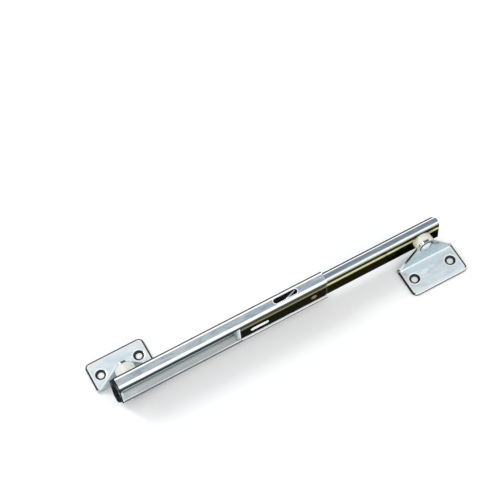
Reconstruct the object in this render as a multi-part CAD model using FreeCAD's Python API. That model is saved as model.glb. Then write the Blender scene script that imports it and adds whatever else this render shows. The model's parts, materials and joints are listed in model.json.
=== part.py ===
import FreeCAD, Part
import math
import os

# Telescopic lid stay: two folded steel rails that slide in each other, a folded
# bracket riveted to each end, and a sprung catch inside the inner rail.
# Lengths are millimetres. +X runs along the rails from the box bracket to the lid
# bracket, +Z is up, and both bracket plates lie on the plane z = 0. The origin is on
# the box bracket's mounting face, midway between its two screw holes.

# Brackets: plate and upright ear folded from one sheet
bracket_sheet = 1.6
bracket_bend = 2.4            # outside radius of the fold
plate_length = 45.4
plate_depth = 23.8            # plate's outer edge to the ear's outer face
plate_corner = 4.0
hole_spacing = 30.0
hole_diameter = 4.8
sink_diameter = 7.2           # countersink at the plate's face
sink_depth = 1.2
hole_inset = 12.2             # hole centres to the plate's outer edge
rim_width = 1.0               # coined rim round each countersink
rim_depth = 0.25
plate_edge = 0.6              # bevel of the plate's upper edge
ear_foot_width = 41.6
ear_top_radius = 6.6
pivot_height = 20.0           # pivot axis above the mounting face

# Rails: the outer one is a lipped channel, the inner one a plain channel
rail_sheet = 1.3
rail_bend = 2.2               # outside radius of the folds
rail_rise = 11.25             # pivot axis to the outer rail's top
outer_height = 25.2
outer_depth = 10.4
outer_lip = 3.2
outer_length = 163.0
outer_end = 11.5              # box pivot to the outer rail's end
outer_toe = 2.7               # web and floor reach past the flange's end
toe_corner = 2.5
bridge_length = 2.0           # front strap that joins the lips at the box end
slide_gap = 0.4               # inner rail to outer rail, all round
inner_length = 162.0
inner_end = 15.0              # lid pivot to the inner rail's end
inner_corner = 4.0

# Nylon glide in the box end of the inner rail, clipped into the slot in its web
glide_collar = 2.5            # part of the glide that stands out of the rail
glide_length = 23.0           # part inside the rail
glide_gap = 0.1
glide_corner = 1.5

# Pivot rivets and the nylon rings on them
rivet_radius = 3.0
rivet_head_radius = 4.6
rivet_head_height = 1.3
rivet_rim_height = 0.5        # straight rim of a head, below its cone
rivet_crown_radius = 2.0      # flat middle of a head
nylon_radius = 7.1
nylon_edge = 0.6
box_ring_length = 8.3
lid_ring_length = 5.7
turning_gap = 0.05            # pin to bore
side_play = 0.1

# Catch: slots in the two top flanges and a pawl on a small rivet
flange_slot_length = 19.0
flange_slot_width = 4.3
flange_slot_inset = 30.8      # slot centre to the outer rail's lid end
inner_slot_inset = 38.2       # slot centre to the inner rail's box end
web_slot_length = 14.7
web_slot_width = 4.0
web_slot_inset = 15.2         # slot centre to the inner rail's box end
web_slot_drop = 5.4           # slot centre below the pivot axis
catch_rivet_run = 20.8        # rivet to the right of the flange slots' centre
catch_rivet_drop = 5.2        # rivet below the pivot axis
catch_pin_radius = 1.5
catch_head_radius = 2.4
catch_head_height = 0.8
catch_collar_radius = 2.1
catch_eye_radius = 2.8
catch_sheet = 2.0
nose_run = 14.3               # nose tip to the left of the catch rivet
nose_width = 2.6
tail_run = 24.5
tail_depth = 5.0
nose_gap = 0.1                # nose tip below the inner rail's top face
ramp_angle = 38.0

# Leaf spring under the pawl
spring_sheet = 0.4
spring_width = 2.4
spring_foot = 9.0
spring_tongue = 9.0
spring_tip_run = 17.5         # tongue tip to the left of the catch rivet
spring_gap = 0.1


def vec(x, y, z):
    return FreeCAD.Vector(x, y, z)


def cylinder_y(x, z, radius, y_from, y_to):
    return Part.makeCylinder(radius, y_to - y_from, vec(x, y_from, z), vec(0, 1, 0))


def bent_path(points, radius):
    """Straight runs through the points, with an arc of one radius at each turn."""
    edges = []
    start = points[0]
    for before, corner, after in zip(points, points[1:], points[2:]):
        back = (before - corner).normalize()
        ahead = (after - corner).normalize()
        half = back.getAngle(ahead) / 2
        reach = radius / math.tan(half)
        enter = corner + back * reach
        leave = corner + ahead * reach
        middle = (back + ahead).normalize() * (radius / math.sin(half) - radius)
        edges.append(Part.makeLine(start, enter))
        edges.append(Part.Arc(enter, corner + middle, leave).toShape())
        start = leave
    edges.append(Part.makeLine(start, points[-1]))
    return edges


def folded_sheet(outside, inside, bend, sheet, along):
    """A folded strip: outside and inside lines in one plane, pushed along a vector."""
    edges = bent_path(outside, bend) + bent_path(inside, bend - sheet)
    edges.append(Part.makeLine(outside[0], inside[0]))
    edges.append(Part.makeLine(outside[-1], inside[-1]))
    wire = Part.Wire(Part.__sortEdges__(edges))
    return Part.Face(wire).extrude(along)


def slot_prism(centre, long_way, across, push, length, width):
    """A round-ended slot, drawn flat round its centre and pushed through a wall."""
    run = long_way * ((length - width) / 2)
    side = across * (width / 2)
    end = long_way * (length / 2)
    edges = [
        Part.makeLine(centre - run + side, centre + run + side),
        Part.Arc(centre + run + side, centre + end, centre + run - side).toShape(),
        Part.makeLine(centre + run - side, centre - run - side),
        Part.Arc(centre - run - side, centre - end, centre - run + side).toShape(),
    ]
    return Part.Face(Part.Wire(edges)).extrude(push)


def rounded_ear(centre_x, front, back):
    """Upright ear: two straight slants that run tangent into a round top."""
    half = ear_foot_width / 2
    rise = pivot_height - bracket_bend
    foot = math.hypot(half, rise)
    tilt = math.atan2(rise, half) + math.asin(ear_top_radius / foot)
    touch_x = ear_top_radius * math.sin(tilt)
    touch_z = pivot_height + ear_top_radius * math.cos(tilt)
    left_foot = vec(centre_x - half, front, bracket_bend)
    right_foot = vec(centre_x + half, front, bracket_bend)
    left_touch = vec(centre_x - touch_x, front, touch_z)
    right_touch = vec(centre_x + touch_x, front, touch_z)
    top = vec(centre_x, front, pivot_height + ear_top_radius)
    edges = [
        Part.makeLine(left_foot, left_touch),
        Part.Arc(left_touch, top, right_touch).toShape(),
        Part.makeLine(right_touch, right_foot),
        Part.makeLine(right_foot, left_foot),
    ]
    return Part.Face(Part.Wire(edges)).extrude(vec(0, back - front, 0))


def bracket(centre_x, ear_face, outward):
    """Plate and ear in one folded sheet; outward is the side the plate points to."""
    outer_edge = ear_face + outward * plate_depth
    inner_face = ear_face + outward * bracket_sheet
    top = pivot_height + ear_top_radius
    x0 = centre_x - plate_length / 2
    outside = [vec(x0, outer_edge, 0), vec(x0, ear_face, 0), vec(x0, ear_face, top)]
    inside = [
        vec(x0, outer_edge, bracket_sheet),
        vec(x0, inner_face, bracket_sheet),
        vec(x0, inner_face, top),
    ]
    sheet = folded_sheet(outside, inside, bracket_bend, bracket_sheet, vec(plate_length, 0, 0))
    low_y = min(ear_face, outer_edge)
    keep = Part.makeBox(plate_length, plate_depth, bracket_bend, vec(x0, low_y, 0))
    keep = keep.fuse(rounded_ear(centre_x, min(ear_face, inner_face), max(ear_face, inner_face)))
    sheet = sheet.common(keep).removeSplitter()
    corners = []
    for edge in sheet.Edges:
        spot = edge.CenterOfMass
        upright = abs(edge.tangentAt(edge.FirstParameter).z) > 0.99
        if upright and abs(spot.y - outer_edge) < 0.01 and edge.Length < bracket_sheet * 1.1:
            corners.append(edge)
    sheet = sheet.makeFillet(plate_corner, corners)
    # upper edge of the plate, from the fold round both corners
    fold_y = ear_face + outward * bracket_bend
    rim = []
    for edge in sheet.Edges:
        flat = abs(edge.BoundBox.ZMin - bracket_sheet) < 0.01 and edge.BoundBox.ZLength < 0.01
        side = abs(edge.CenterOfMass.x - centre_x) > ear_foot_width / 2
        outer = abs(edge.CenterOfMass.y - outer_edge) < 0.01
        if flat and (outer or side) and abs(edge.CenterOfMass.y - fold_y) > 0.01:
            rim.append(edge)
    sheet = sheet.makeChamfer(plate_edge, rim)
    hole_y = outer_edge - outward * hole_inset
    hole = hole_diameter / 2
    sink = sink_diameter / 2
    for side in (-1, 1):
        spot = vec(centre_x + side * hole_spacing / 2, hole_y, 0)
        sheet = sheet.cut(Part.makeCylinder(hole, bracket_sheet, spot))
        cone = Part.makeCone(hole, sink, sink_depth, spot + vec(0, 0, bracket_sheet - sink_depth))
        dish = Part.makeCone(sink, sink + rim_width, rim_depth, spot + vec(0, 0, bracket_sheet - rim_depth))
        sheet = sheet.cut(cone).cut(dish)
    bore = cylinder_y(centre_x, pivot_height, rivet_radius + turning_gap, low_y, low_y + plate_depth)
    return sheet.cut(bore)


def outer_rail():
    x0 = -outer_end - outer_toe
    run = vec(outer_length + outer_toe, 0, 0)
    inner_top = rail_top - rail_sheet
    inner_low = rail_low + rail_sheet
    outside = [
        vec(x0, rail_front, rail_top - outer_lip),
        vec(x0, rail_front, rail_top),
        vec(x0, rail_back, rail_top),
        vec(x0, rail_back, rail_low),
        vec(x0, rail_front, rail_low),
        vec(x0, rail_front, rail_low + outer_lip),
    ]
    front_in = rail_front + rail_sheet
    back_in = rail_back - rail_sheet
    inside = [
        vec(x0, front_in, rail_top - outer_lip),
        vec(x0, front_in, inner_top),
        vec(x0, back_in, inner_top),
        vec(x0, back_in, inner_low),
        vec(x0, front_in, inner_low),
        vec(x0, front_in, rail_low + outer_lip),
    ]
    rail = folded_sheet(outside, inside, rail_bend, rail_sheet, run)
    # only the web and the floor reach the very end, with rounded toes
    above = rail_top - rail_bend
    rail = rail.cut(Part.makeBox(outer_toe, outer_depth, rail_bend, vec(x0, rail_front, above)))
    lip_zone = Part.makeBox(outer_toe, rail_bend, outer_height, vec(x0, rail_front, rail_low))
    rail = rail.cut(lip_zone)
    toes = []
    for edge in rail.Edges:
        spot = edge.CenterOfMass
        at_end = abs(spot.x - x0) < 0.01
        web_top = abs(spot.z - above) < 0.01
        floor_front = abs(spot.y - (rail_front + rail_bend)) < 0.01
        if at_end and abs(edge.Length - rail_sheet) < 0.01 and (web_top or floor_front):
            toes.append(edge)
    rail = rail.makeFillet(toe_corner, toes)
    # front strap across the lips
    strap_low = rail_low + outer_lip
    strap = Part.makeBox(
        bridge_length, rail_sheet, outer_height - 2 * outer_lip, vec(-outer_end, rail_front, strap_low)
    )
    rail = rail.fuse(strap).removeSplitter()
    slot_spot = vec(flange_slot_x, slot_y, rail_top - 2 * rail_sheet)
    slot = slot_prism(
        slot_spot, vec(1, 0, 0), vec(0, 1, 0), vec(0, 0, 3 * rail_sheet), flange_slot_length, flange_slot_width
    )
    rail = rail.cut(slot)
    bore = cylinder_y(0, pivot_height, rivet_radius + turning_gap, back_in - rail_sheet, rail_back + rail_sheet)
    return rail.cut(bore)


def inner_rail():
    x0 = inner_left
    inner_top = slide_top - rail_sheet
    inner_low = slide_low + rail_sheet
    web_in = slide_front + rail_sheet
    outside = [
        vec(x0, slide_back, slide_top),
        vec(x0, slide_front, slide_top),
        vec(x0, slide_front, slide_low),
        vec(x0, slide_back, slide_low),
    ]
    inside = [
        vec(x0, slide_back, inner_top),
        vec(x0, web_in, inner_top),
        vec(x0, web_in, inner_low),
        vec(x0, slide_back, inner_low),
    ]
    rail = folded_sheet(outside, inside, rail_bend, rail_sheet, vec(inner_length, 0, 0))
    x1 = inner_left + inner_length
    corners = []
    for edge in rail.Edges:
        spot = edge.CenterOfMass
        if abs(spot.x - x1) < 0.01 and abs(spot.y - slide_back) < 0.01 and edge.Length < rail_sheet * 1.1:
            corners.append(edge)
    rail = rail.makeFillet(inner_corner, corners)
    top_spot = vec(flange_slot_x, slot_y, slide_top - 2 * rail_sheet)
    top_slot = slot_prism(
        top_spot, vec(1, 0, 0), vec(0, 1, 0), vec(0, 0, 3 * rail_sheet), flange_slot_length, flange_slot_width
    )
    web_spot = vec(web_slot_x, slide_front - rail_sheet, web_slot_z)
    web_slot = slot_prism(
        web_spot, vec(1, 0, 0), vec(0, 0, 1), vec(0, 3 * rail_sheet, 0), web_slot_length, web_slot_width
    )
    rail = rail.cut(top_slot).cut(web_slot)
    web_out = slide_front - rail_sheet
    rail = rail.cut(cylinder_y(pivot_distance, pivot_height, rivet_radius + turning_gap, web_out, web_in + 1))
    return rail.cut(cylinder_y(catch_rivet_x, catch_rivet_z, catch_pin_radius + turning_gap, web_out, web_in + 1))


def rail_glide():
    """End collar as wide as the rail, a block inside it and a tab that fills the slot."""
    front = slide_front + glide_gap
    back = slide_back - glide_gap
    low = slide_low + glide_gap
    high = slide_top - glide_gap
    collar = Part.makeBox(
        glide_collar, back - front, high - low, vec(inner_left - glide_gap - glide_collar, front, low)
    )
    long_edges = [e for e in collar.Edges if e.BoundBox.XLength > glide_collar * 0.99]
    collar = collar.makeFillet(glide_corner, long_edges)
    block_front = slide_front + rail_sheet + glide_gap
    block_low = slide_low + rail_sheet + glide_gap
    block_high = slide_top - rail_sheet - glide_gap
    block = Part.makeBox(
        glide_gap + glide_length, back - block_front, block_high - block_low,
        vec(inner_left - glide_gap, block_front, block_low)
    )
    bends = [e for e in block.Edges if e.BoundBox.XLength > glide_length * 0.99 and e.CenterOfMass.y < block_front + 0.01]
    block = block.makeFillet(rail_bend - rail_sheet, bends)
    spot = vec(web_slot_x, front, web_slot_z)
    tab = slot_prism(
        spot, vec(1, 0, 0), vec(0, 0, 1), vec(0, block_front + rail_sheet - front, 0),
        web_slot_length - 2 * glide_gap, web_slot_width - 2 * glide_gap
    )
    return collar.fuse([block, tab]).removeSplitter()


def domed_head(x, z, face, way, radius, height):
    """Round head on a flat face: a cap of a sphere that points along Y."""
    ball = (radius ** 2 + height ** 2) / (2 * height)
    centre = vec(x, face + way * (height - ball), z)
    slab = cylinder_y(x, z, radius, min(face, face + way * height), max(face, face + way * height))
    return Part.makeSphere(ball, centre).common(slab)


def pivot_rivet(x, ear_side, ear_way, rail_side):
    """Turned about its axis: a shank through ear, ring and web, headed at each end."""
    profile = []
    for face, way in ((ear_side, ear_way), (rail_side, -ear_way)):
        half = [
            (0, face + way * rivet_head_height),
            (rivet_crown_radius, face + way * rivet_head_height),
            (rivet_head_radius, face + way * rivet_rim_height),
            (rivet_head_radius, face),
            (rivet_radius, face),
        ]
        profile += half if not profile else reversed(half)
    outline = [vec(x, y, pivot_height + out) for out, y in profile]
    face = Part.Face(Part.makePolygon(outline + [outline[0]]))
    return face.revolve(vec(x, 0, pivot_height), vec(0, 1, 0), 360)


def nylon_ring(x, y_from, y_to):
    ring = cylinder_y(x, pivot_height, nylon_radius, y_from, y_to)
    ring = ring.makeChamfer(nylon_edge, [e for e in ring.Edges if isinstance(e.Curve, Part.Circle)])
    return ring.cut(cylinder_y(x, pivot_height, rivet_radius + turning_gap, y_from, y_to))


def catch_rivet():
    web_in = slide_front + rail_sheet
    x = catch_rivet_x
    z = catch_rivet_z
    head = domed_head(x, z, slide_front, -1, catch_head_radius, catch_head_height)
    collar = cylinder_y(x, z, catch_collar_radius, web_in, pawl_front - side_play)
    pin = cylinder_y(x, z, catch_pin_radius, slide_front, pawl_back + side_play)
    tail = domed_head(x, z, pawl_back + side_play, 1, catch_head_radius, catch_head_height)
    return head.fuse([collar, pin, tail]).removeSplitter()


def pawl_tail():
    """Upper corner of the pawl's tail, at the foot of its ramp."""
    tail_x = catch_rivet_x - tail_run
    ramp_run = tail_run - nose_run - nose_width
    tail_z = slide_top - nose_gap - ramp_run * math.tan(math.radians(ramp_angle))
    return tail_x, tail_z


def catch_lever():
    """Pawl plate: an eye on the rivet, a nose under the slots, a ramp down to its tail."""
    x = catch_rivet_x
    z = catch_rivet_z
    tip_z = slide_top - nose_gap
    nose_right = x - nose_run
    tail_x, tail_z = pawl_tail()
    outline = [
        vec(x, pawl_front, z - catch_eye_radius),
        vec(tail_x, pawl_front, tail_z - tail_depth),
        vec(tail_x, pawl_front, tail_z),
        vec(nose_right - nose_width, pawl_front, tip_z),
        vec(nose_right, pawl_front, tip_z),
        vec(x, pawl_front, z + catch_eye_radius),
        vec(x, pawl_front, z - catch_eye_radius),
    ]
    plate = Part.Face(Part.makePolygon(outline)).extrude(vec(0, catch_sheet, 0))
    eye = cylinder_y(x, z, catch_eye_radius, pawl_front, pawl_back)
    bore = cylinder_y(x, z, catch_pin_radius + turning_gap, pawl_front, pawl_back)
    return plate.fuse(eye).removeSplitter().cut(bore)


def catch_spring():
    """Leaf: a foot on the inner rail's floor and a tongue that bears under the pawl."""
    floor = slide_low + rail_sheet
    eye_low = catch_rivet_z - catch_eye_radius
    tail_z = pawl_tail()[1] - tail_depth
    under = eye_low + (tail_z - eye_low) * spring_tip_run / tail_run
    tip_x = catch_rivet_x - spring_tip_run
    bend_x = tip_x - spring_tongue
    y = slot_y - spring_width / 2
    low = [
        vec(bend_x - spring_foot, y, floor),
        vec(bend_x, y, floor),
        vec(tip_x, y, under - spring_gap - spring_sheet),
    ]
    lift = vec(0, 0, spring_sheet)
    high = [point + lift for point in reversed(low)]
    strip = Part.Face(Part.makePolygon(low + high + [low[0]]))
    return strip.extrude(vec(0, spring_width, 0))


# Places along Y, worked out from the box ear towards the lid bracket's plate
box_ear_back = -plate_depth + hole_inset + bracket_sheet
box_ear_face = box_ear_back - bracket_sheet
box_ring_back = box_ear_face - side_play
rail_back = box_ring_back - box_ring_length
rail_front = rail_back - outer_depth
slide_front = rail_front + rail_sheet + slide_gap
slide_back = rail_back - rail_sheet - slide_gap
lid_ring_front = slide_front - lid_ring_length
lid_ear_back = lid_ring_front - side_play
lid_ear_front = lid_ear_back - bracket_sheet
slot_y = (rail_front + rail_back) / 2
pawl_front = slot_y - catch_sheet / 2
pawl_back = slot_y + catch_sheet / 2

# Places along Z and X
rail_top = pivot_height + rail_rise
rail_low = rail_top - outer_height
slide_top = rail_top - rail_sheet - slide_gap
slide_low = rail_low + rail_sheet + slide_gap
web_slot_z = pivot_height - web_slot_drop
catch_rivet_z = pivot_height - catch_rivet_drop
outer_right = outer_length - outer_end
flange_slot_x = outer_right - flange_slot_inset
inner_left = flange_slot_x - inner_slot_inset
web_slot_x = inner_left + web_slot_inset
catch_rivet_x = flange_slot_x + catch_rivet_run
pivot_distance = inner_left + inner_length - inner_end

nodes = {
    "outer_rail": outer_rail(),
    "inner_rail": inner_rail(),
    "rail_glide": rail_glide(),
    "box_bracket": bracket(0, box_ear_face, 1),
    "lid_bracket": bracket(pivot_distance, lid_ear_back, -1),
    "box_pivot_rivet": pivot_rivet(0, box_ear_back + side_play, 1, rail_back - rail_sheet),
    "lid_pivot_rivet": pivot_rivet(pivot_distance, lid_ear_front - side_play, -1, slide_front + rail_sheet),
    "box_nylon_ring": nylon_ring(0, rail_back, box_ring_back),
    "lid_nylon_ring": nylon_ring(pivot_distance, lid_ring_front, slide_front),
    "catch_lever": catch_lever(),
    "catch_rivet": catch_rivet(),
    "catch_spring": catch_spring(),
}

os.makedirs("parts", exist_ok=True)
for name, shape in nodes.items():
    solid = shape if shape.ShapeType == "Solid" else shape.Solids[0]
    box = solid.BoundBox
    print(name, len(shape.Solids), shape.isValid(), round(solid.Volume, 1),
          [round(v, 2) for v in (box.XMin, box.XMax, box.YMin, box.YMax, box.ZMin, box.ZMax)])
    solid.exportStep("parts/" + name + ".step")
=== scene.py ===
import json
import math

import bpy
from mathutils import Matrix, Vector


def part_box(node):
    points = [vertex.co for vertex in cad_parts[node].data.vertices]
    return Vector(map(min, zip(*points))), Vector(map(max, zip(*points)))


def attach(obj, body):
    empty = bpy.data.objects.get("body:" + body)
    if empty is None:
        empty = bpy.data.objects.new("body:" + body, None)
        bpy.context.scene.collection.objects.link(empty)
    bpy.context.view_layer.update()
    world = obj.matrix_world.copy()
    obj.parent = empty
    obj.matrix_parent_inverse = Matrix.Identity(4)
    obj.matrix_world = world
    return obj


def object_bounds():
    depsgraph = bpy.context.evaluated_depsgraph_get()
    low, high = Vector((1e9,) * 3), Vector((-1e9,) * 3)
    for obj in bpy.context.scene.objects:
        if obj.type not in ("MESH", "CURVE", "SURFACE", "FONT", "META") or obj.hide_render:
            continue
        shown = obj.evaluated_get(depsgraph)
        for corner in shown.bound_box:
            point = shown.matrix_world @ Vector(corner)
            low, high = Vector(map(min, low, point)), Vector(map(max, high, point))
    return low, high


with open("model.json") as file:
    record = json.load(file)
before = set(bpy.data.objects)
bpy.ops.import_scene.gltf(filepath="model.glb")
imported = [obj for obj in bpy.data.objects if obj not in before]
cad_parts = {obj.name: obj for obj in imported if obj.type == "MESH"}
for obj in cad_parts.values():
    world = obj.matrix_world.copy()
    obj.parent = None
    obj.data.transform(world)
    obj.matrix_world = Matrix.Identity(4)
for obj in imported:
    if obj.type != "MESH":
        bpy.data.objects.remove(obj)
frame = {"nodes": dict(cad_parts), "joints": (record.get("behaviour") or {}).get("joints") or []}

cad_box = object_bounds()
for thing in bpy.context.selected_objects:
    thing.select_set(False)
scene = bpy.context.scene
scene.view_settings.view_transform = "Standard"

# Camera. It stands above the box end and looks down steeply through a long lens, turned
# a little on its own axis, as the photograph was taken.
camera_place = Vector((-0.0820, -0.4426, 0.9305))
camera_yaw = math.radians(23.32)
camera_pitch = math.radians(60.78)
camera_roll = math.radians(-6.23)
focal_pixels = 1456.2
photo_pixels = 500.0
film_width = 36.0
view_reach = 20.0
forward = Vector((
    math.sin(camera_yaw) * math.cos(camera_pitch),
    math.cos(camera_yaw) * math.cos(camera_pitch),
    -math.sin(camera_pitch),
))
level_right = Vector((math.cos(camera_yaw), -math.sin(camera_yaw), 0.0))
level_up = level_right.cross(forward)
right = level_right * math.cos(camera_roll) + level_up * math.sin(camera_roll)
up = right.cross(forward)
camera_data = bpy.data.cameras.new("camera")
camera_data.sensor_width = film_width
camera_data.lens = film_width * focal_pixels / photo_pixels
camera_data.clip_end = view_reach
camera = bpy.data.objects.new("camera", camera_data)
scene.collection.objects.link(camera)
turn = Matrix((right, up, -forward)).transposed().to_4x4()
camera.matrix_world = Matrix.Translation(camera_place) @ turn
scene.camera = camera

# Light. A pale room, white in front and low at the back, with a grey panel high at the
# back for the plating to mirror. One large soft lamp hangs at the back on the left.
white = (1.0, 1.0, 1.0)
near_white = (0.95, 0.95, 0.95)
panel_low = (0.44, 0.47, 0.50)
panel_high = (0.42, 0.455, 0.48)
room_strength = 1.12
front_wall_end = -0.15
back_wall_start = 0.25
lamp_place = Vector((-1.10, 1.75, 2.25))
lamp_side = 1.3
lamp_power = 38.0


def remapped(source, start, end, at_start=0.0, at_end=1.0, interpolation="LINEAR"):
    """A value that goes from one number to another while its source goes from start to end."""
    tree = source.id_data
    step = tree.nodes.new("ShaderNodeMapRange")
    step.interpolation_type = interpolation
    step.inputs["From Min"].default_value = start
    step.inputs["From Max"].default_value = end
    step.inputs["To Min"].default_value = at_start
    step.inputs["To Max"].default_value = at_end
    tree.links.new(source, step.inputs["Value"])
    return step.outputs["Result"]


def colour_row(source, stops, interpolation="LINEAR"):
    """A row of colours, each at its spot between 0 and 1."""
    tree = source.id_data
    row = tree.nodes.new("ShaderNodeValToRGB")
    row.color_ramp.interpolation = interpolation
    entries = row.color_ramp.elements
    while len(entries) < len(stops):
        entries.new(0.5)
    for entry, (spot, colour) in zip(entries, stops):
        entry.position = spot
        entry.color = (*colour, 1.0)
    tree.links.new(source, row.inputs["Fac"])
    return row.outputs["Color"]


def blended(mask, first, second):
    """The first colour where the mask is 0 and the second where it is 1."""
    tree = mask.id_data
    mix = tree.nodes.new("ShaderNodeMix")
    mix.data_type = "RGBA"
    tree.links.new(mask, mix.inputs["Factor"])
    for socket, colour in ((mix.inputs[6], first), (mix.inputs[7], second)):
        if isinstance(colour, tuple):
            socket.default_value = (*colour, 1.0)
        else:
            tree.links.new(colour, socket)
    return mix.outputs[2]


world = bpy.data.worlds.new("studio")
scene.world = world
world.use_nodes = True
room = world.node_tree
room.nodes.clear()
direction = room.nodes.new("ShaderNodeTexCoord")
sides = room.nodes.new("ShaderNodeSeparateXYZ")
room.links.new(direction.outputs["Generated"], sides.inputs["Vector"])
back_wall = colour_row(sides.outputs["Z"], (
    (0.0, white), (0.42, white), (0.60, panel_low), (0.92, panel_high), (1.0, white),
), "EASE")
front_wall = colour_row(sides.outputs["Z"], (
    (0.0, near_white), (0.3, white), (1.0, white),
), "EASE")
towards_back = remapped(sides.outputs["Y"], front_wall_end, back_wall_start)
background = room.nodes.new("ShaderNodeBackground")
background.inputs["Strength"].default_value = room_strength
room.links.new(blended(towards_back, front_wall, back_wall), background.inputs["Color"])
output = room.nodes.new("ShaderNodeOutputWorld")
room.links.new(background.outputs["Background"], output.inputs["Surface"])

middle = (cad_box[0] + cad_box[1]) / 2
lamp = bpy.data.lights.new("key_lamp", "AREA")
lamp.shape = "SQUARE"
lamp.size = lamp_side
lamp.energy = lamp_power
lamp_holder = bpy.data.objects.new("key_lamp", lamp)
scene.collection.objects.link(lamp_holder)
lamp_holder.location = lamp_place
lamp_holder.rotation_euler = (middle - lamp_place).to_track_quat("-Z", "Y").to_euler()

# Floor. A plain matte white ground that keeps the stay's soft shadow, a hair below the
# plates so that the two faces don't fight.
floor_side = 8.0
floor_drop = 0.0002
ground_white = (0.97, 0.97, 0.97, 1.0)
bpy.ops.mesh.primitive_plane_add(size=floor_side, location=(middle.x, middle.y, -floor_drop))
floor = bpy.context.active_object
floor.name = "floor"
ground = bpy.data.materials.new("floor_white")
ground.use_nodes = True
shader = ground.node_tree.nodes["Principled BSDF"]
shader.inputs["Base Color"].default_value = ground_white
shader.inputs["Roughness"].default_value = 1.0
shader.inputs["Specular IOR Level"].default_value = 0.0
floor.data.materials.append(ground)
floor.select_set(False)

# Plated steel. Every steel piece is zinc over cold-rolled sheet or wire: fine rolling
# lines along the strip, under cloudy tints that the passivation leaves.
line_scale = 1800.0
line_height = 0.00003
cloud_scale = 130.0
cloud_stretch = (0.5, 1.6, 1.0)
cloud_start = 0.38
cloud_full = 0.62
edge_tint = (0.4, 0.4, 0.4, 1.0)


def worked(operation, *values):
    """One sum. Each value is a number or another node's output."""
    tree = next(value for value in values if not isinstance(value, float)).id_data
    step = tree.nodes.new("ShaderNodeMath")
    step.operation = operation
    for socket, value in zip(step.inputs, values):
        if isinstance(value, float):
            socket.default_value = value
        else:
            tree.links.new(value, socket)
    return step.outputs["Value"]


def noise(place, scale, detail=2.0, distortion=0.0):
    """Cloudy noise over a place."""
    tree = place.id_data
    texture = tree.nodes.new("ShaderNodeTexNoise")
    texture.inputs["Scale"].default_value = scale
    texture.inputs["Detail"].default_value = detail
    texture.inputs["Distortion"].default_value = distortion
    tree.links.new(place, texture.inputs["Vector"])
    return texture.outputs["Fac"]


def own_place(tree):
    """The piece's own coordinates, in metres."""
    return tree.nodes.new("ShaderNodeTexCoord").outputs["Object"]


skin = bpy.data.node_groups.new("plated_skin", "ShaderNodeTree")
for socket_name, socket_type, value in (
    ("Metal", "NodeSocketColor", (0.7, 0.72, 0.74, 1.0)),
    ("Tint", "NodeSocketColor", (0.6, 0.7, 0.8, 1.0)),
    ("Tint Amount", "NodeSocketFloat", 0.5),
    ("Roughness", "NodeSocketFloat", 0.2),
    ("Grain", "NodeSocketFloat", 0.05),
    ("Stretch", "NodeSocketVector", (1.0, 1.0, 1.0)),
):
    socket = skin.interface.new_socket(socket_name, in_out="INPUT", socket_type=socket_type)
    socket.default_value = value
for socket_name, socket_type in (
    ("Color", "NodeSocketColor"),
    ("Roughness", "NodeSocketFloat"),
    ("Height", "NodeSocketFloat"),
):
    skin.interface.new_socket(socket_name, in_out="OUTPUT", socket_type=socket_type)
given = skin.nodes.new("NodeGroupInput").outputs
result = skin.nodes.new("NodeGroupOutput").inputs
place = own_place(skin)
drawn_out = skin.nodes.new("ShaderNodeMapping")
skin.links.new(place, drawn_out.inputs["Vector"])
skin.links.new(given["Stretch"], drawn_out.inputs["Scale"])
lines = noise(drawn_out.outputs["Vector"], line_scale, detail=4.0)
clouded = skin.nodes.new("ShaderNodeMapping")
clouded.inputs["Scale"].default_value = cloud_stretch
skin.links.new(place, clouded.inputs["Vector"])
clouds = noise(clouded.outputs["Vector"], cloud_scale, detail=5.0, distortion=0.8)
tinted = worked("MULTIPLY", remapped(clouds, cloud_start, cloud_full), given["Tint Amount"])
skin.links.new(blended(tinted, given["Metal"], given["Tint"]), result["Color"])
uneven = worked("SUBTRACT", lines, 0.5)
grained = worked("MULTIPLY_ADD", uneven, given["Grain"], given["Roughness"])
skin.links.new(grained, result["Roughness"])
skin.links.new(lines, result["Height"])


def plated(name, metal, tint, amount, roughness, grain, stretch=(1.0, 1.0, 1.0), bump=0.2):
    """Zinc plate over steel, with its clouds and rolling grain."""
    material = bpy.data.materials.new(name)
    material.use_nodes = True
    tree = material.node_tree
    shader = tree.nodes["Principled BSDF"]
    shader.inputs["Metallic"].default_value = 1.0
    shader.inputs["Specular Tint"].default_value = edge_tint
    finish = tree.nodes.new("ShaderNodeGroup")
    finish.node_tree = skin
    finish.inputs["Metal"].default_value = (*metal, 1.0)
    finish.inputs["Tint"].default_value = (*tint, 1.0)
    finish.inputs["Tint Amount"].default_value = amount
    finish.inputs["Roughness"].default_value = roughness
    finish.inputs["Grain"].default_value = grain
    finish.inputs["Stretch"].default_value = stretch
    tree.links.new(finish.outputs["Color"], shader.inputs["Base Color"])
    tree.links.new(finish.outputs["Roughness"], shader.inputs["Roughness"])
    relief = tree.nodes.new("ShaderNodeBump")
    relief.name = "relief"
    relief.inputs["Distance"].default_value = 1.0
    height = worked("MULTIPLY", finish.outputs["Height"], bump * line_height)
    tree.links.new(height, relief.inputs["Height"])
    tree.links.new(relief.outputs["Normal"], shader.inputs["Normal"])
    return material


# Outer rail. Lipped channel rolled from strip, bright with a cool blue cast. Its bends carry
# painted highlights, the inside of its channel is painted in bands of light and shade,
# and its toe at the box end is painted dark as shade.
outer_low, outer_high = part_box("outer_rail")
inner_low, inner_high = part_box("inner_rail")
slot_length = 0.0190
slot_width = 0.0043
slot_inset = 0.0308
slot_x = outer_high.x - slot_inset
slot_y = (outer_low.y + outer_high.y) / 2
slot_rim_width = 0.00045
slot_rim_end = slot_width / 2 + slot_rim_width
lines_along_rail = (0.03, 1.0, 1.0)
soft = 0.0002
crisp = 0.0001


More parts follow.
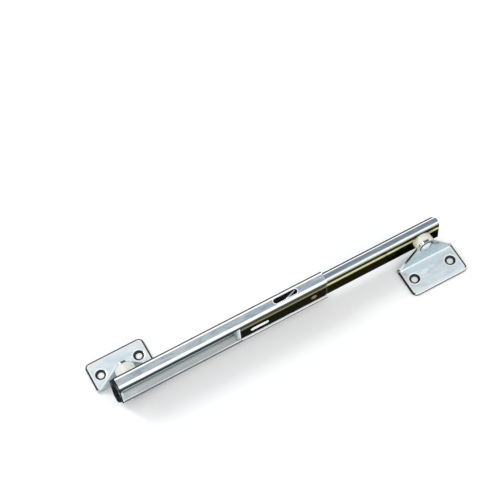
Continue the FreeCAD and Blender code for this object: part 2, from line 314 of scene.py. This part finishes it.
def axes(material):
    """The piece's own coordinates in metres, one output for each axis."""
    tree = material.node_tree
    split = tree.nodes.new("ShaderNodeSeparateXYZ")
    tree.links.new(own_place(tree), split.inputs["Vector"])
    return [split.outputs[name] for name in "XYZ"]


def above(source, edge, blur=soft):
    """A mask that is 1 past a coordinate."""
    return remapped(source, edge - blur, edge + blur, interpolation="SMOOTHSTEP")


def below(source, edge, blur=soft):
    """A mask that is 1 up to a coordinate."""
    return remapped(source, edge + blur, edge - blur, interpolation="SMOOTHSTEP")


def shared(first, *others):
    """The ground that all the masks share."""
    for other in others:
        first = worked("MULTIPLY", first, other)
    return first


def either(first, *others):
    """The ground of all the masks together."""
    for other in others:
        first = worked("MAXIMUM", first, other)
    return first


def zone(source, low, high, blur=soft):
    """A mask that is 1 from one coordinate to a higher one."""
    return shared(above(source, low, blur), below(source, high, blur))


def tones(source, start, stops):
    """A row of colours along one coordinate, each at its distance from a start, in metres."""
    nearest = stops[0][0]
    run = stops[-1][0] - nearest
    spots = tuple(((distance - nearest) / run, colour) for distance, colour in stops)
    return colour_row(remapped(source, start + nearest, start + nearest + run), spots)


def painted_over(mask, colour):
    """Paint a colour over the finish where the mask is 1; here it lays painted light and shade."""
    tree = mask.id_data
    target = tree.nodes["Principled BSDF"].inputs["Base Color"]
    tree.links.new(blended(mask, target.links[0].from_socket, colour), target)


def unmetalled(mask, amount):
    """Turn the metal matte where the mask is 1, so that a colour painted there shows as it is."""
    tree = mask.id_data
    part = remapped(mask, 0.0, 1.0, 1.0, amount)
    tree.links.new(part, tree.nodes["Principled BSDF"].inputs["Metallic"])


def crowned(source, edge, way, reach, lean):
    """Let a flat face fall away: the slope grows over the reach before the edge, then holds."""
    tree = source.id_data
    into = worked("MULTIPLY_ADD", source, way, reach - way * edge)
    held = worked("MINIMUM", worked("MAXIMUM", into, 0.0), reach)
    area = worked("MULTIPLY", held, worked("SUBTRACT", worked("MULTIPLY", into, 2.0), held))
    fall = worked("MULTIPLY", area, -lean / (2.0 * reach))
    height = tree.nodes["relief"].inputs["Height"]
    tree.links.new(worked("ADD", height.links[0].from_socket, fall), height)


def face_place(**two_sides):
    """A place from two coordinates, named X, Y or Z, to measure across a face."""
    tree = next(iter(two_sides.values())).id_data
    flat = tree.nodes.new("ShaderNodeCombineXYZ")
    for name, source in two_sides.items():
        tree.links.new(source, flat.inputs[name])
    return flat.outputs["Vector"]


def moved(operation, place, other=(0.0, 0.0, 0.0), wanted="Vector"):
    """One step of working on a place."""
    tree = place.id_data
    step = tree.nodes.new("ShaderNodeVectorMath")
    step.operation = operation
    tree.links.new(place, step.inputs[0])
    step.inputs[1].default_value = other
    return step.outputs[wanted]


def from_core(place, centre, half):
    """How far a point lies outside a block, so that a band of it follows round corners."""
    offset = moved("ABSOLUTE", moved("SUBTRACT", place, centre))
    outside = moved("MAXIMUM", moved("SUBTRACT", offset, half))
    return moved("LENGTH", outside, wanted="Value")


outer_zinc = plated(
    "outer_zinc", metal=(0.96, 1.0, 1.0), tint=(0.62, 0.72, 0.80), amount=1.0,
    roughness=0.12, grain=0.10, stretch=lines_along_rail, bump=0.15,
)
x, y, z = axes(outer_zinc)

back_crown = outer_high.y - 0.0029
front_crown = outer_low.y + 0.0020
crowned(y, back_crown, way=1.0, reach=0.0008, lean=0.36)
crowned(y, front_crown, way=-1.0, reach=0.0005, lean=0.33)

top_start = outer_high.z - 0.00065
# Painted highlights: the top face is painted near white along its back and front bends.
back_highlight_start = outer_high.y - 0.0031
front_highlight_start = outer_low.y + 0.0021
end_highlight_start = outer_high.x - 0.0007
highlight_zinc = (0.98, 1.0, 1.0)
top_face = above(z, top_start)
painted_over(shared(top_face, either(above(y, back_highlight_start), below(y, front_highlight_start))), highlight_zinc)
# A painted highlight along the outer rail's end at the lid end.
painted_over(above(x, end_highlight_start), white)
# A painted highlight round the slot on the top face.
slot_core = ((slot_length - slot_width) / 2, 0.0, 0.0)
from_slot = from_core(face_place(X=x, Y=y), (slot_x, slot_y, 0.0), slot_core)
slot_rim_highlight = shared(top_face, below(from_slot, slot_rim_end, crisp))
painted_over(slot_rim_highlight, white)

bend_low = outer_high.z - 0.00095
back_bend_start = outer_high.y - 0.0018
bend_shade = (0.06, 0.07, 0.08)
# Painted shade: a dark line along the back bend of the top.
painted_over(shared(above(z, bend_low), above(y, back_bend_start, crisp)), bend_shade)

channel_front = outer_low.y + 0.0012
channel_back = outer_high.y - 0.0012
channel_low = outer_low.z + 0.00055
channel_high = outer_high.z - 0.00115
floor_high = outer_low.z + 0.00545
web_start = outer_high.y - 0.0016
web_high = outer_high.z - 0.00275
channel_light = (0.90, 0.97, 0.95)
web_shade = (0.05, 0.07, 0.08)
channel = shared(zone(y, channel_front, channel_back), zone(z, channel_low, channel_high))
# Painted light: the inside of the channel is painted pale.
painted_over(channel, channel_light)
# Painted light and shade: the channel's floor is painted in bands across its depth.
painted_over(shared(channel, below(z, floor_high)), tones(y, outer_low.y, (
    (0.0012, (0.50, 0.54, 0.53)), (0.0018, (0.60, 0.64, 0.63)), (0.0021, white),
    (0.0054, white), (0.0070, (0.78, 0.86, 0.85)), (0.0079, (0.50, 0.58, 0.56)),
    (0.0086, (0.90, 0.98, 0.96)), (0.0092, (0.30, 0.36, 0.36)),
)))
# Painted shade: the inside of the back wall below the top is painted dark.
painted_over(shared(channel, above(y, web_start, crisp), below(z, web_high)), web_shade)

lip_back = outer_low.y + 0.0014
lip_front = outer_low.y + 0.0007
lip_edge_low = outer_low.z + 0.00295
lip_edge_high = outer_low.z + 0.00355
lip_face_back = outer_low.y + 0.0011
lip_face_high = outer_low.z + 0.00305
underside_high = outer_low.z + 0.00065
inner_start = inner_low.x + 0.0005
edge_grey = (0.24, 0.26, 0.27)
lip_shade = (0.12, 0.125, 0.13)
painted_light_metal = 0.15
lip_edge = shared(below(y, lip_back), zone(z, lip_edge_low, lip_edge_high, crisp))
painted_over(shared(lip_edge, below(y, lip_front)), edge_grey)
lip_face = shared(below(y, lip_face_back), below(z, lip_face_high, crisp))
# Painted shade: the lower lip's front face and underside are painted dark.
painted_over(either(lip_face, below(z, underside_high, crisp)), lip_shade)
# A painted highlight on the lip's top edge over the inner rail.
lip_edge_highlight = shared(lip_edge, above(x, inner_start))
painted_over(lip_edge_highlight, white)
# The painted light in the channel, on the lip's edge and round the slot is made matte.
unmetalled(either(channel, lip_edge_highlight, slot_rim_highlight), painted_light_metal)

straw_highlight_back = outer_low.y + 0.0008
upper_lip_back = outer_low.y + 0.0005
upper_lip_low = outer_high.z - 0.00625
toe_end = outer_low.x + 0.0034
lip_blur = 0.0004
lengthwise_blur = 0.0050
straw_highlight = (0.97, 0.93, 0.76)
lip_dark_reflection = (0.05, 0.075, 0.075)
lip_olive_reflection = (0.10, 0.10, 0.045)
toe_shade = (0.02, 0.028, 0.028)
over_inner_rail = above(x, inner_start, lengthwise_blur)
# Painted highlight: over the inner rail the front bend is painted straw yellow.
painted_over(shared(below(y, straw_highlight_back), top_face, over_inner_rail), straw_highlight)
# Painted reflection: the upper lip's front face is painted dark, and olive over the inner rail.
upper_lip = shared(below(y, upper_lip_back), zone(z, upper_lip_low, bend_low, lip_blur))
painted_over(upper_lip, lip_dark_reflection)
painted_over(shared(upper_lip, over_inner_rail), lip_olive_reflection)
# Painted shade: the toe at the box end is painted near black.
painted_over(below(x, toe_end), toe_shade)
frame["nodes"]["outer_rail"].data.materials[0] = outer_zinc

# Inner rail. Plain channel from the same strip, duller than the outer rail, with painted
# highlights along the bends of its top. Its web carries painted reflections: near black under a
# gold band and a near white top bend.
inner_zinc = plated(
    "inner_zinc", metal=(0.50, 0.57, 0.62), tint=(0.30, 0.37, 0.42), amount=0.8,
    roughness=0.14, grain=0.14, stretch=lines_along_rail, bump=0.25,
)
x, y, z = axes(inner_zinc)

back_crown = inner_high.y - 0.0017
front_crown = inner_low.y + 0.0012
crowned(y, back_crown, way=1.0, reach=0.0007, lean=0.38)
crowned(y, front_crown, way=-1.0, reach=0.0005, lean=0.33)

top_start = inner_high.z - 0.00075
# Painted highlights: the top face is painted near white along its back and front bends.
back_highlight_start = inner_high.y - 0.0019
front_highlight_start = inner_low.y + 0.0014
highlight_zinc = (0.97, 0.99, 1.0)
top_face = above(z, top_start)
painted_over(shared(top_face, either(above(y, back_highlight_start), below(y, front_highlight_start))), highlight_zinc)

bend_low = inner_high.z - 0.00095
back_bend_start = inner_high.y - 0.0011
# Painted shade: a dark line along the back bend of the top.
painted_over(shared(above(z, bend_low), above(y, back_bend_start, crisp)), bend_shade)

web_back = inner_low.y + 0.0007
foot_back = inner_low.y + 0.0019
foot_high = inner_low.z + 0.00425
web_face = below(y, web_back)
web = either(web_face, shared(below(z, foot_high), below(y, foot_back)))
# Painted reflection: the web is painted near black, with a gold band and a near white top bend.
painted_over(web, tones(z, inner_low.z, (
    (0.00025, (0.034, 0.036, 0.030)), (0.01225, (0.030, 0.031, 0.024)),
    (0.01295, (0.10, 0.09, 0.04)), (0.01365, (0.58, 0.54, 0.24)),
    (0.01505, (0.86, 0.82, 0.46)), (0.01605, (0.66, 0.63, 0.30)),
    (0.01685, (0.07, 0.08, 0.03)), (0.01945, (0.05, 0.06, 0.025)),
    (0.02075, (0.50, 0.50, 0.40)), (0.02185, (0.97, 0.97, 0.93)),
)))

cover_end = outer_high.x - 0.0003
cover_low = inner_low.z + 0.01255
cover_high = inner_low.z + 0.02105
# Painted shade: where the outer rail covers the web, its painted reflection is darker.
web_in_outer_shade = shared(web, below(x, cover_end), zone(z, cover_low, cover_high))
painted_over(web_in_outer_shade, tones(z, inner_low.z, (
    (0.01255, (0.10, 0.10, 0.05)), (0.01385, (0.36, 0.35, 0.18)),
    (0.01505, (0.05, 0.055, 0.03)), (0.02105, (0.06, 0.065, 0.03)),
)))

end_shadow_start = outer_high.x - 0.0001
end_shadow_end = outer_high.x + 0.0006
shadow_on_top = (0.05, 0.06, 0.06)
shadow_on_web = (0.16, 0.16, 0.11)
# Painted shadow: a dark line across the inner rail just past the outer rail's end.
end_shadow = zone(x, end_shadow_start, end_shadow_end, crisp)
painted_over(shared(top_face, end_shadow), shadow_on_top)
painted_over(shared(web_face, end_shadow), shadow_on_web)

gold_band_low = inner_low.z + 0.01345
gold_band_high = inner_low.z + 0.01645
gold_band_metal = 0.3
# The painted gold reflection band is made partly matte so that it shows bright.
unmetalled(shared(web, zone(z, gold_band_low, gold_band_high)), gold_band_metal)
frame["nodes"]["inner_rail"].data.materials[0] = inner_zinc

# Brackets. Stamped and folded sheet with coined rims round the screw holes. Painted shade darkens
# the bores and the cut edges, painted highlights run inside them and along the front edges,
# and painted shade darkens the ears.
bracket_sheet = 0.0016
plate_high = bracket_sheet + 0.0003
corner_reach = 0.0035
rim_start = 0.0009
cut_start = 0.0023
cut_end = 0.0060
front_run = 0.0015
front_low = bracket_sheet - 0.0004
hole_run = 0.015
hole_shift = 0.0003
hole_highlight_reach = 0.0051
hole_shade_reach = 0.0040
cut_and_bore_shade = (0.03, 0.035, 0.04)
bracket_zinc = plated(
    "bracket_zinc", metal=(0.94, 1.0, 1.0), tint=(0.74, 0.85, 0.91), amount=0.9,
    roughness=0.17, grain=0.10, bump=0.05,
)
x, y, z = axes(bracket_zinc)
plan = face_place(X=x, Y=y)
on_plate = below(z, plate_high, crisp)
for name, towards_ear in (("box_bracket", -1.0), ("lid_bracket", 1.0)):
    low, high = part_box(name)
    centre = (low + high) / 2
    half = (high - low) / 2
    core = (half.x - corner_reach, half.y - corner_reach, 0.0)
    past_core = from_core(plan, (centre.x, centre.y, 0.0), core)
    # Painted highlight: a white band runs inside the plate's edges.
    painted_over(shared(on_plate, zone(past_core, rim_start, cut_end, crisp)), white)
    # Painted shade: the cut edges are painted dark, except along the front where they stay painted
    # bright.
    plate_front_highlight = shared(below(y, low.y + front_run), above(z, front_low, crisp))
    elsewhere = worked("SUBTRACT", 1.0, plate_front_highlight)
    cut_edge_shade = shared(elsewhere, on_plate, zone(past_core, cut_start, cut_end, crisp))
    painted_over(cut_edge_shade, cut_and_bore_shade)
    for hole_x in (centre.x - hole_run, centre.x + hole_run):
        hole = (hole_x, centre.y + towards_ear * hole_shift, 0.0)
        from_hole = moved("DISTANCE", plan, hole, "Value")
        # Painted highlight round each screw hole, with painted shade over its coined rim and bore.
        painted_over(below(from_hole, hole_highlight_reach), white)
        painted_over(below(from_hole, hole_shade_reach, crisp), cut_and_bore_shade)
    frame["nodes"][name].data.materials[0] = bracket_zinc

ear_start = bracket_sheet + 0.0012
ear_blur = 0.0006
ear_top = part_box("lid_bracket")[1].z
ear_tip_start = ear_top - 0.0004
frost_end = bracket_sheet + 0.00065
frost_blur = 0.00035
frost_metal = 0.55
ear_shade = (0.68, 0.78, 0.81)
ear_tip_shade = (0.24, 0.28, 0.29)
# Painted shade: the upright ears are painted darker, their tips darker still.
painted_over(above(z, ear_start, ear_blur), ear_shade)
painted_over(above(z, ear_tip_start, crisp), ear_tip_shade)
unmetalled(below(z, frost_end, frost_blur), frost_metal)

pivot_ring_start = 0.0040
pivot_ring_end = 0.0053
pivot_ring_grey = (0.12, 0.14, 0.13)
front_view = face_place(X=x, Z=z)
pivots = {joint["name"]: Vector(joint["pos_m"]) for joint in frame["joints"] if "pos_m" in joint}
# A dark grey ring round each pivot on the ears.
for name in ("box_pivot", "lid_pivot"):
    pivot = (pivots[name].x, 0.0, pivots[name].z)
    from_pivot = moved("DISTANCE", front_view, pivot, "Value")
    painted_over(zone(from_pivot, pivot_ring_start, pivot_ring_end), pivot_ring_grey)

# Rivets. Cold-headed wire, zinc plated after forming. The two at the pivots stay bright,
# and the small one that holds the pawl is dark with oil.
rivet_zinc = plated(
    "rivet_zinc", metal=(0.80, 0.84, 0.86), tint=(0.66, 0.72, 0.76), amount=0.5,
    roughness=0.14, grain=0.08,
)
oiled_rivet = plated(
    "oiled_rivet", metal=(0.26, 0.24, 0.14), tint=(0.12, 0.11, 0.06), amount=0.7,
    roughness=0.26, grain=0.10,
)
for name, metal in (
    ("box_pivot_rivet", rivet_zinc), ("lid_pivot_rivet", rivet_zinc), ("catch_rivet", oiled_rivet),
):
    frame["nodes"][name].data.materials[0] = metal

# Catch. Stamped pawl and its leaf spring inside the inner rail, both darkened with oil. A
# thin bright tongue on the pawl's nose stands on edge, slantwise across the slot.
tongue_length = 0.0088
tongue_sheet = 0.0006
tongue_height = 0.0015
tongue_edge = 0.00012
tongue_turn = math.radians(-21.0)
tongue_run = 0.0039
tongue_inset = 0.0001
tongue_drop = 0.00055
tongue_place = Vector((slot_x + tongue_run, slot_y - tongue_inset, inner_high.z - tongue_drop))
smooth_angle = math.radians(35.0)
catch_zinc = plated(
    "catch_zinc", metal=(0.10, 0.11, 0.11), tint=(0.05, 0.06, 0.06), amount=0.6,
    roughness=0.3, grain=0.1,
)
spring_steel = plated(
    "spring_steel", metal=(0.34, 0.35, 0.37), tint=(0.28, 0.30, 0.34), amount=0.4,
    roughness=0.3, grain=0.1,
)
tongue_metal = plated(
    "tongue_metal", metal=(0.92, 0.95, 0.96), tint=(0.80, 0.86, 0.90), amount=0.6,
    roughness=0.3, grain=0.1,
)
frame["nodes"]["catch_lever"].data.materials[0] = catch_zinc
frame["nodes"]["catch_spring"].data.materials[0] = spring_steel
bpy.ops.mesh.primitive_cube_add(size=1.0, location=tongue_place)
tongue = bpy.context.active_object
tongue.name = "pawl_tongue"
bpy.ops.object.mode_set(mode="EDIT")
bpy.ops.mesh.select_all(action="SELECT")
bpy.ops.transform.resize(value=(tongue_length, tongue_sheet, tongue_height))
bpy.ops.transform.rotate(value=tongue_turn, orient_axis="Z", center_override=tongue_place)
bpy.ops.mesh.bevel(offset=tongue_edge, segments=2, affect="EDGES")
bpy.ops.object.mode_set(mode="OBJECT")
bpy.ops.object.transform_apply(location=True, rotation=True, scale=True)
bpy.ops.object.shade_smooth_by_angle(angle=smooth_angle)
tongue.data.materials.append(tongue_metal)
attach(tongue, "catch")
tongue.select_set(False)

# Nylon rings. Turned from natural nylon rod, cream and slightly see-through. Each keeps an
# ear off its rail, round the pivot rivet.
mottle_scale = 260.0
smoothest = 0.3
roughest = 0.45


def natural_nylon(name, darker, lighter):
    """Satin nylon with a faint mottle."""
    material = bpy.data.materials.new(name)
    material.use_nodes = True
    tree = material.node_tree
    shader = tree.nodes["Principled BSDF"]
    shader.inputs["Subsurface Weight"].default_value = 0.1
    shader.inputs["Subsurface Scale"].default_value = 0.002
    mottle = noise(own_place(tree), mottle_scale)
    tree.links.new(blended(mottle, darker, lighter), shader.inputs["Base Color"])
    tree.links.new(remapped(mottle, 0.0, 1.0, smoothest, roughest), shader.inputs["Roughness"])
    return material


ring_nylon = natural_nylon("nylon", (0.66, 0.65, 0.59), (0.74, 0.73, 0.68))
for name in ("box_nylon_ring", "lid_nylon_ring"):
    frame["nodes"][name].data.materials[0] = ring_nylon

# Rail glide. Moulded from white nylon and clipped into the slot in the inner rail's web.
# The collar that stands out of the rail's end is painted grey as shade.
collar_end = inner_low.x - 0.0009
collar_shade = (0.50, 0.57, 0.56)
glide_nylon = natural_nylon("glide_nylon", (0.86, 0.91, 0.90), (0.94, 0.97, 0.96))
along_rail = axes(glide_nylon)[0]
painted_over(below(along_rail, collar_end), collar_shade)
frame["nodes"]["rail_glide"].data.materials[0] = glide_nylon
